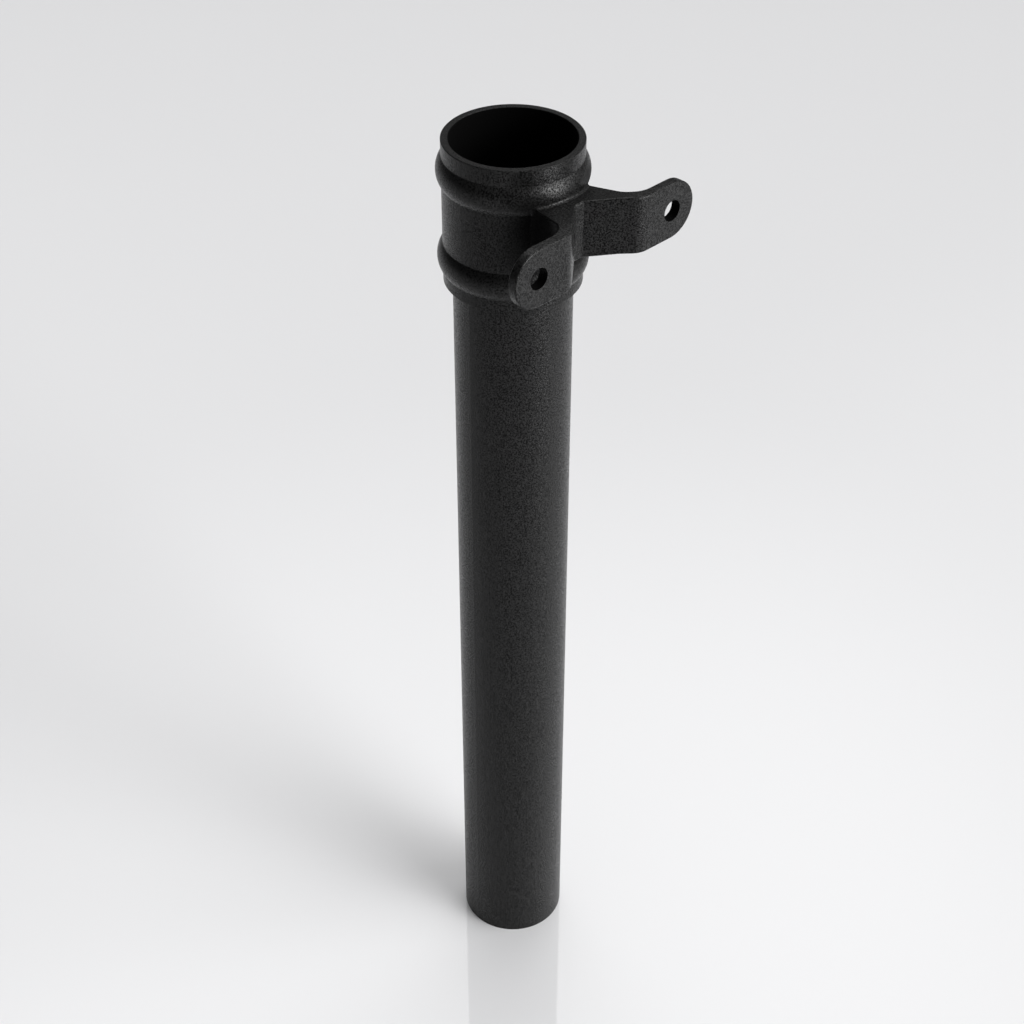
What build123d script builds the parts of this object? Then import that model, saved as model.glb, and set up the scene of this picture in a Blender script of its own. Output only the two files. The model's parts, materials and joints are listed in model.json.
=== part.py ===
"""Aluminium downpipe with an eared socket collar, standing on its lower end.

Millimetres. +Z runs up the pipe, the origin is on the pipe's axis at its lower end,
and the wall that the ears are fixed to is on the +Y side.
"""
import os
from math import radians, sqrt, tan

from build123d import *

# Tube
pipe_diameter = 76.2
pipe_wall = 2.5
pipe_length = 610.0

# Socket collar
spigot_clearance = 1.15
collar_wall = 4.65
spigot_depth = 66.0
ledge_height = 3.0
seat_depth = 27.0
seat_turning = 0.5
seat_clearance = 0.1
rim_bevel = 0.4

# Beads round the collar
bead_height = 18.9
bead_relief = 3.45
upper_bead_drop = 20.1
lower_bead_drop = 78.9

# Eared bracket, cast with the collar
ear_height = 38.0
ear_drop = 40.6
ear_thickness = 6.5
ear_spacing = 113.4
ear_hole_diameter = 13.6
wall_reach = 79.3
valley_reach = 55.8
valley_half_width = 3.4
valley_rounding = 2.0
arm_bend = 30.0
arm_bend_rounding = 14.0
root_half_width = 21.8
root_flare = 12.5
stem_slope = 6.2
slope_setback = 3.0
slope_rounding = 30.0
root_rounding = 1.7
back_rounding = 15.0
edge_rounding = 1.0
back_bevel = 0.8

# Worked out from the sizes above
pipe_radius = pipe_diameter / 2
waterway_radius = pipe_radius - pipe_wall
tube_end_radius = pipe_radius - seat_turning
seat_radius = tube_end_radius + seat_clearance
socket_radius = pipe_radius + spigot_clearance
collar_radius = socket_radius + collar_wall
collar_foot = pipe_length - seat_depth
ledge_top = pipe_length + ledge_height
rim_top = ledge_top + spigot_depth
ear_middle = rim_top - ear_drop
ear_back = wall_reach - ear_thickness
ear_radius = ear_height / 2
ear_tip = ear_spacing / 2 + ear_radius
slope_reach = ear_back - slope_setback
stem_fall = slope_reach * tan(radians(stem_slope))
root_reach = sqrt(collar_radius**2 - root_half_width**2)
flare = tan(radians(root_flare))
stem_half_width = root_half_width - root_reach * flare
shoulder = stem_half_width + ear_back * flare


# Tube: one straight length, cut square, its upper end turned down a little for the collar
with BuildPart() as pipe:
    with BuildSketch():
        Circle(pipe_radius)
    extrude(amount=collar_foot)
    with BuildSketch(Plane.XY.offset(collar_foot)):
        Circle(tube_end_radius)
    extrude(amount=seat_depth)
    with BuildSketch():
        Circle(waterway_radius)
    extrude(amount=pipe_length, mode=Mode.SUBTRACT)

# Bracket: a stem that opens into two arms, which turn along the wall as round ears
with BuildPart() as bracket:
    with BuildSketch(Plane.XY.offset(ear_middle - ear_height)) as plan:
        with BuildLine():
            Polyline(
                (0, 0),
                (stem_half_width, 0),
                (shoulder, ear_back),
                (ear_tip, ear_back),
                (ear_tip, wall_reach),
                (arm_bend, wall_reach),
                (valley_half_width, valley_reach),
                (0, valley_reach),
            )
            mirror(about=Plane.YZ)
        make_face()
        for reach, limit, rounding in (
            (valley_reach, valley_half_width, valley_rounding),
            (wall_reach, arm_bend, arm_bend_rounding),
            (ear_back, shoulder, back_rounding),
        ):
            corners = plan.vertices().filter_by(lambda v: abs(v.Y - reach) < 0.01)
            fillet(corners.filter_by(lambda v: abs(abs(v.X) - limit) < 0.01), rounding)
    extrude(amount=2 * ear_height)
    # Seen along the wall's normal, the ears end in full rounds
    with BuildSketch(Plane.XZ):
        with Locations((0, ear_middle)):
            SlotCenterToCenter(ear_spacing, ear_height)
            Rectangle(2 * (shoulder + back_rounding), 2 * ear_height)
    extrude(amount=-wall_reach, mode=Mode.INTERSECT)
    # Seen from the side, the stem slopes down from the ears to the collar
    with BuildSketch(Plane((-ear_tip, 0, ear_middle), x_dir=(0, 1, 0), z_dir=(1, 0, 0))):
        Polygon(
            (0, ear_radius - stem_fall),
            (slope_reach, ear_radius),
            (wall_reach, ear_radius),
            (wall_reach, -ear_radius),
            (slope_reach, -ear_radius),
            (0, -ear_radius - stem_fall),
            align=None,
        )
        fillet(vertices().group_by(Axis.X)[1], slope_rounding)
    extrude(amount=2 * ear_tip, mode=Mode.INTERSECT)
    sides = faces().filter_by(lambda f: abs(f.normal_at().Z) < 0.01 < f.center().Y)
    sides = sides.filter_by(lambda f: abs(f.center().X) < ear_tip - 1)
    fronts = sides.filter_by(lambda f: f.normal_at().Y > 0).edges().filter_by(Axis.Z, reverse=True)
    backs = sides.filter_by(lambda f: f.normal_at().Y < 0).edges().filter_by(Axis.Z, reverse=True)
    fillet(fronts, edge_rounding)
    chamfer(backs, back_bevel)

# Collar: a turned socket with two rounded beads, one casting with its bracket
with BuildPart() as eared_collar:
    with BuildSketch(Plane.XZ):
        with BuildLine():
            bead_marks = [rim_top - lower_bead_drop, rim_top - upper_bead_drop]
            side = [(collar_radius, collar_foot)]
            for middle in bead_marks:
                low = (collar_radius, middle - bead_height / 2)
                high = (collar_radius, middle + bead_height / 2)
                Line(side[-1], low)
                ThreePointArc(low, (collar_radius + bead_relief, middle), high)
                side.append(high)
            Polyline(side[-1], (collar_radius, rim_top), (0, rim_top), (0, collar_foot), side[0])
        make_face()
    revolve(axis=Axis.Z)
    add(bracket.part)
    roots = edges(Select.NEW).filter_by(lambda e: e.center().Z > ear_middle - ear_radius / 2)
    fillet(roots, root_rounding)
    with BuildSketch(Plane.XY.offset(rim_top)):
        Circle(socket_radius)
    extrude(amount=-spigot_depth, mode=Mode.SUBTRACT)
    with BuildSketch(Plane.XY.offset(ledge_top)):
        Circle(waterway_radius)
    extrude(amount=-ledge_height, mode=Mode.SUBTRACT)
    with BuildSketch(Plane.XY.offset(collar_foot)):
        Circle(seat_radius)
    extrude(amount=seat_depth, mode=Mode.SUBTRACT)
    rim_edges = edges().filter_by(GeomType.CIRCLE).group_by(Axis.Z)[-1]
    chamfer(rim_edges, rim_bevel)
    with BuildSketch(Plane.XZ.offset(-wall_reach)):
        with Locations((0, ear_middle)):
            with GridLocations(ear_spacing, 0, 2, 1):
                Circle(ear_hole_diameter / 2)
    extrude(amount=ear_thickness * 2, mode=Mode.SUBTRACT)

pipe.part.label = "pipe"
eared_collar.part.label = "eared_collar"

os.makedirs("parts", exist_ok=True)
export_step(pipe.part, "parts/pipe.step")
export_step(eared_collar.part, "parts/eared_collar.step")
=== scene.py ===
"""The packed downpipe in a fine-textured black coat, on a pale floor under soft studio light."""
import json
import math

import bpy
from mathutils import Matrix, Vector

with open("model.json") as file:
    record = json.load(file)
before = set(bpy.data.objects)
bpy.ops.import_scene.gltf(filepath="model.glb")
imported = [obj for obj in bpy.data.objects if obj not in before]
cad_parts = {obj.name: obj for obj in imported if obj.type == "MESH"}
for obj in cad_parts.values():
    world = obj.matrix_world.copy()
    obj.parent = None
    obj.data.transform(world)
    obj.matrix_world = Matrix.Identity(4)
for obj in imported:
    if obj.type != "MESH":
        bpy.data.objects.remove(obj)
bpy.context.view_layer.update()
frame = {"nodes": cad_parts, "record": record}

# The record's dimensions are in millimetres
MM_PER_M = 1000

# The camera that the photo's outlines give, in pixels, millimetres, metres and degrees
LENS_PX = 1912.9
IMAGE_PX = 1024
SENSOR_MM = 36.0
CAMERA_DISTANCE = 1.0386
CAMERA_HEIGHT = 1.2062
CAMERA_SIDE_STEP = -0.0007
CAMERA_PITCH = 38.017
CAMERA_FAR_LIMIT = 50.0
WALL_TURN = 44.3

# The coat in its pits and on its tips, and the painted shade in its recesses: the grey, and the
# tint of the glint
COAT_COLOURS = (0.001, 0.019, 0.001)
COAT_GLINTS = (0.25, 1.0, 0.10)
COAT_SPECULAR = 0.25

# The coat's roughness in its pits and on its tips, and in the recesses
COAT_ROUGHNESS = (0.42, 0.22)
RECESS_ROUGHNESS = 0.9

# The coat's grain: noise features per metre, the noise values of pits and tips, relief in metres
GRAIN_SCALE = 1000
GRAIN_OCTAVES = 2
GRAIN_OCTAVE_SHARE = 0.6
GRAIN_RANGE = (0.40, 0.60)
GRAIN_STRENGTH = 0.6
GRAIN_DEPTH = 0.0003

# The recesses that get painted shade: the border round a bore, and the pocket between stem and
# arm, in metres
EDGE_WIDTH = 0.0001
POCKET_CENTRE = (0.030, 0.049)
POCKET_REACH = (0.010, 0.027)
POCKET_FLATTENING = 0.5

# A pocket's faces, given painted shade and more roughness up to the first value and not beyond the
# second: normal's Z, inward turn
UPRIGHT_LIMITS = (0.3, 0.8)
INWARD_LIMITS = (0.1, 0.3)

# The floor: its size in metres, its colour, and the dark colour that only diffuse rays meet
FLOOR_RADIUS = 14.0
FLOOR_SIDES = 96
FLOOR_ROUGHNESS = 0.02
FLOOR_COLOUR = (0.78, 0.78, 0.79)
FLOOR_BOUNCE = (0.08, 0.08, 0.08)

# The studio's plain sky: its level, and the share of it that gloss sees beside the soft boxes
SKY = 0.45
SKY_IN_GLOSS = 0.2

# Soft boxes: azimuth and elevation, inner and outer half angle in degrees, strength
SOFT_BOXES = (
    (60, 12, 5, 22, 9.0),
    (60, 34, 5, 22, 1.4),
    (85, 34, 5, 22, 2.4),
    (75, 26, 15, 42, 1.1),
    (70, 20, 2, 11, 2.0),
    (45, 12, 4, 16, 4.5),
    (60, 18, 2, 9, 12.0),
    (42, 18, 2, 9, 7.0),
    (180, 58, 5, 25, 2.1),
    (150, 50, 5, 25, 0.95),
    (0, 90, 8, 32, 1.6),
    (215, 45, 5, 28, 0.2),
)


def view_axes():
    """Horizontal unit vectors of the photo: towards its right, and away from its camera."""
    turn = math.radians(WALL_TURN)
    right = Vector((-math.cos(turn), math.sin(turn), 0))
    away = Vector((-math.sin(turn), -math.cos(turn), 0))
    return right, away


def place(side, depth, height):
    """A point of the studio, measured from the pipe's foot along the photo's own axes."""
    right, away = view_axes()
    return right * side + away * depth + Vector((0, 0, height))


def make_camera():
    """Puts the camera where the photo was taken from."""
    data = bpy.data.cameras.new("camera")
    data.sensor_width = SENSOR_MM
    data.lens = LENS_PX / IMAGE_PX * SENSOR_MM
    data.clip_end = CAMERA_FAR_LIMIT
    camera = bpy.data.objects.new("camera", data)
    bpy.context.scene.collection.objects.link(camera)
    camera.location = place(CAMERA_SIDE_STEP, -CAMERA_DISTANCE, CAMERA_HEIGHT)
    away = view_axes()[1]
    pitch = math.radians(CAMERA_PITCH)
    look = away * math.cos(pitch) - Vector((0, 0, math.sin(pitch)))
    camera.rotation_euler = look.to_track_quat("-Z", "Y").to_euler()
    bpy.context.scene.camera = camera


class Nodes:
    """Short ways to add and join the nodes of one tree."""

    def __init__(self, tree):
        self.tree = tree
        tree.nodes.clear()

    def add(self, kind, **settings):
        node = self.tree.nodes.new(kind)
        for name, value in settings.items():
            setattr(node, name, value)
        return node

    def join(self, source, target):
        self.tree.links.new(source, target)


def fine_noise(nodes, coords):
    """The grain's noise over the object's own coordinates."""
    node = nodes.add("ShaderNodeTexNoise")
    node.inputs["Scale"].default_value = GRAIN_SCALE
    node.inputs["Detail"].default_value = GRAIN_OCTAVES
    node.inputs["Roughness"].default_value = GRAIN_OCTAVE_SHARE
    nodes.join(coords, node.inputs["Vector"])
    return node.outputs["Fac"]


def spread(nodes, value, low, high, to_low, to_high):
    """Maps a value's range to another one."""
    node = nodes.add("ShaderNodeMapRange")
    node.inputs["From Min"].default_value = low
    node.inputs["From Max"].default_value = high
    node.inputs["To Min"].default_value = to_low
    node.inputs["To Max"].default_value = to_high
    nodes.join(value, node.inputs["Value"])
    return node.outputs["Result"]


def axes(nodes, vector):
    """A vector's X, Y and Z."""
    node = nodes.add("ShaderNodeSeparateXYZ")
    nodes.join(vector, node.inputs["Vector"])
    return node.outputs


def combine(nodes, operation, first, second):
    """One value of two."""
    node = nodes.add("ShaderNodeMath", operation=operation)
    nodes.join(first, node.inputs[0])
    nodes.join(second, node.inputs[1])
    return node.outputs["Value"]


def scaled(nodes, value, factor):
    """A value times a fixed factor."""
    node = nodes.add("ShaderNodeMath", operation="MULTIPLY")
    nodes.join(value, node.inputs[0])
    node.inputs[1].default_value = factor
    return node.outputs["Value"]


def recess(nodes, coords, centre, weights, inner, outer):
    """1 near a centre and 0 beyond the outer distance, measured with a weight on each axis."""
    offset = nodes.add("ShaderNodeVectorMath", operation="SUBTRACT")
    nodes.join(coords, offset.inputs[0])
    offset.inputs[1].default_value = centre
    across = nodes.add("ShaderNodeVectorMath", operation="MULTIPLY")
    nodes.join(offset.outputs["Vector"], across.inputs[0])
    across.inputs[1].default_value = weights
    length = nodes.add("ShaderNodeVectorMath", operation="LENGTH")
    nodes.join(across.outputs["Vector"], length.inputs[0])
    return spread(nodes, length.outputs["Value"], inner, outer, 1, 0)


def recesses(nodes, texture):
    """1 where shade is painted and the coat made rough: in the bore, the ear holes and behind the
    arms.
    """
    mounts = {mount["name"]: mount for mount in frame["record"]["mounts"]}
    socket = mounts["socket"]
    bore = socket["dims"]["r_mm"] / MM_PER_M
    ledge = socket["pos_m"][2] - socket["dims"]["length_mm"] / 2 / MM_PER_M
    holes = mounts["ear_holes"]
    hole = holes["dims"]["hole_r_mm"] / MM_PER_M
    ear_side = holes["dims"]["spacing_x_mm"] / 2 / MM_PER_M
    middle = holes["pos_m"][2]

    coords = texture.outputs["Object"]
    above = spread(nodes, axes(nodes, coords)["Z"], ledge - EDGE_WIDTH, ledge, 0, 1)
    normal = axes(nodes, texture.outputs["Normal"])
    flatness = nodes.add("ShaderNodeMath", operation="ABSOLUTE")
    nodes.join(normal["Z"], flatness.inputs[0])
    upright = spread(nodes, flatness.outputs["Value"], *UPRIGHT_LIMITS, 1, 0)

    # Painted shade in the bore, below the socket's ledge, where the coat is also made rough
    painted_shade_and_dullness = recess(nodes, coords, (0, 0, 0), (1, 1, 0), bore + EDGE_WIDTH, bore + 2 * EDGE_WIDTH)
    painted_shade_and_dullness = combine(nodes, "MULTIPLY", painted_shade_and_dullness, above)
    for side in (-1, 1):
        ear = (side * ear_side, 0, middle)
        # Painted shade inside each ear hole, and in the pocket between stem and arm
        hole_shade = recess(nodes, coords, ear, (1, 0, 1), hole + EDGE_WIDTH, hole + 2 * EDGE_WIDTH)
        pocket = (side * POCKET_CENTRE[0], POCKET_CENTRE[1], middle)
        pocket_shade = recess(nodes, coords, pocket, (1, 1, POCKET_FLATTENING), *POCKET_REACH)
        limits = [-side * limit for limit in INWARD_LIMITS]
        outward = spread(nodes, normal["X"], *limits, 1, 0)
        pocket_shade = combine(nodes, "MULTIPLY", pocket_shade, combine(nodes, "MULTIPLY", upright, outward))
        painted_shade_and_dullness = combine(nodes, "MAXIMUM", painted_shade_and_dullness, combine(nodes, "MAXIMUM", hole_shade, pocket_shade))
    return painted_shade_and_dullness


def tones(nodes, grain, painted_shade_and_dullness, dark, pale, shade_grey):
    """A grey that follows the grain and gives way to a painted shade grey in the recesses."""
    ramp = nodes.add("ShaderNodeValToRGB")
    for element, position, grey in zip(ramp.color_ramp.elements, GRAIN_RANGE, (dark, pale)):
        element.position = position
        element.color = (grey, grey, grey, 1)
    nodes.join(grain, ramp.inputs["Fac"])
    # The painted shade's grey takes the coat's place in the recesses
    tone = nodes.add("ShaderNodeMix", data_type="RGBA")
    tone.inputs["B"].default_value = (shade_grey, shade_grey, shade_grey, 1)
    nodes.join(painted_shade_and_dullness, tone.inputs["Factor"])
    nodes.join(ramp.outputs["Color"], tone.inputs["A"])
    return tone.outputs["Result"]


def coating():
    """Fine-textured black powder coat, with shade painted into its bore, ear holes and pockets."""
    material = bpy.data.materials.new("textured_coat")
    material.use_nodes = True
    nodes = Nodes(material.node_tree)
    out = nodes.add("ShaderNodeOutputMaterial")
    shader = nodes.add("ShaderNodeBsdfPrincipled")
    nodes.join(shader.outputs["BSDF"], out.inputs["Surface"])
    texture = nodes.add("ShaderNodeTexCoord")
    shader.inputs["Specular IOR Level"].default_value = COAT_SPECULAR

    grain = fine_noise(nodes, texture.outputs["Object"])
    painted_shade_and_dullness = recesses(nodes, texture)
    # Base colour and glint tint darken to painted shade in the bore, ear holes and pockets
    nodes.join(tones(nodes, grain, painted_shade_and_dullness, *COAT_COLOURS), shader.inputs["Base Color"])
    nodes.join(tones(nodes, grain, painted_shade_and_dullness, *COAT_GLINTS), shader.inputs["Specular Tint"])
    grained = spread(nodes, grain, *GRAIN_RANGE, *COAT_ROUGHNESS)
    dulled = scaled(nodes, painted_shade_and_dullness, RECESS_ROUGHNESS)
    nodes.join(combine(nodes, "MAXIMUM", grained, dulled), shader.inputs["Roughness"])

    bump = nodes.add("ShaderNodeBump")
    bump.inputs["Strength"].default_value = GRAIN_STRENGTH
    bump.inputs["Distance"].default_value = GRAIN_DEPTH
    nodes.join(grain, bump.inputs["Height"])
    nodes.join(bump.outputs["Normal"], shader.inputs["Normal"])
    return material


def polish():
    """The floor's pale polish, which sends little light back up onto the pipe."""
    material = bpy.data.materials.new("floor")
    material.use_nodes = True
    nodes = Nodes(material.node_tree)
    out = nodes.add("ShaderNodeOutputMaterial")
    shader = nodes.add("ShaderNodeBsdfPrincipled")
    shader.inputs["Roughness"].default_value = FLOOR_ROUGHNESS
    tone = nodes.add("ShaderNodeMix", data_type="RGBA")
    tone.inputs["A"].default_value = (*FLOOR_COLOUR, 1)
    tone.inputs["B"].default_value = (*FLOOR_BOUNCE, 1)
    rays = nodes.add("ShaderNodeLightPath")
    nodes.join(rays.outputs["Is Diffuse Ray"], tone.inputs["Factor"])
    nodes.join(tone.outputs["Result"], shader.inputs["Base Color"])
    nodes.join(shader.outputs["BSDF"], out.inputs["Surface"])
    return material


def make_floor():
    """A wide round floor."""
    mesh = bpy.data.meshes.new("floor")
    angles = [2 * math.pi * k / FLOOR_SIDES for k in range(FLOOR_SIDES)]
    ring = [(FLOOR_RADIUS * math.cos(a), FLOOR_RADIUS * math.sin(a), 0) for a in angles]
    mesh.from_pydata(ring, [], [range(FLOOR_SIDES)])
    floor = bpy.data.objects.new("floor", mesh)
    bpy.context.scene.collection.objects.link(floor)
    mesh.materials.append(polish())


def softbox(nodes, direction, azimuth, elevation, inner, outer, strength):
    """A round soft light on the sky; its azimuth turns from the camera to the photo's right."""
    right, away = view_axes()
    turn = math.radians(azimuth)
    rise = math.radians(elevation)
    flat = right * math.sin(turn) - away * math.cos(turn)
    aim = flat * math.cos(rise) + Vector((0, 0, math.sin(rise)))
    facing = nodes.add("ShaderNodeVectorMath", operation="DOT_PRODUCT")
    nodes.join(direction, facing.inputs[0])
    facing.inputs[1].default_value = aim
    glow = nodes.add("ShaderNodeMapRange", interpolation_type="SMOOTHSTEP")
    glow.inputs["From Min"].default_value = math.cos(math.radians(outer))
    glow.inputs["From Max"].default_value = math.cos(math.radians(inner))
    glow.inputs["To Max"].default_value = strength
    nodes.join(facing.outputs["Value"], glow.inputs["Value"])
    return glow.outputs["Result"]


def make_light():
    """Soft studio light: round soft boxes, and a plain sky that the camera sees in their place."""
    world = bpy.data.worlds.new("studio")
    world.use_nodes = True
    nodes = Nodes(world.node_tree)
    out = nodes.add("ShaderNodeOutputWorld")
    background = nodes.add("ShaderNodeBackground")
    background.inputs["Color"].default_value = (1, 1, 1, 1)
    nodes.join(background.outputs["Background"], out.inputs["Surface"])

    direction = nodes.add("ShaderNodeTexCoord").outputs["Generated"]
    rays = nodes.add("ShaderNodeLightPath").outputs
    total = scaled(nodes, rays["Is Glossy Ray"], SKY * SKY_IN_GLOSS)
    for box in SOFT_BOXES:
        total = combine(nodes, "ADD", total, softbox(nodes, direction, *box))
    level = nodes.add("ShaderNodeMix", data_type="FLOAT")
    seen = combine(nodes, "MAXIMUM", rays["Is Camera Ray"], rays["Is Transmission Ray"])
    nodes.join(seen, level.inputs["Factor"])
    nodes.join(total, level.inputs["A"])
    level.inputs["B"].default_value = SKY
    nodes.join(level.outputs["Result"], background.inputs["Strength"])
    bpy.context.scene.world = world


def dress_nodes():
    """Gives both CAD nodes the coating."""
    coat = coating()
    for node in frame["nodes"].values():
        node.data.materials.clear()
        node.data.materials.append(coat)


bpy.context.scene.view_settings.view_transform = "Standard"
dress_nodes()
make_floor()
make_light()
make_camera()
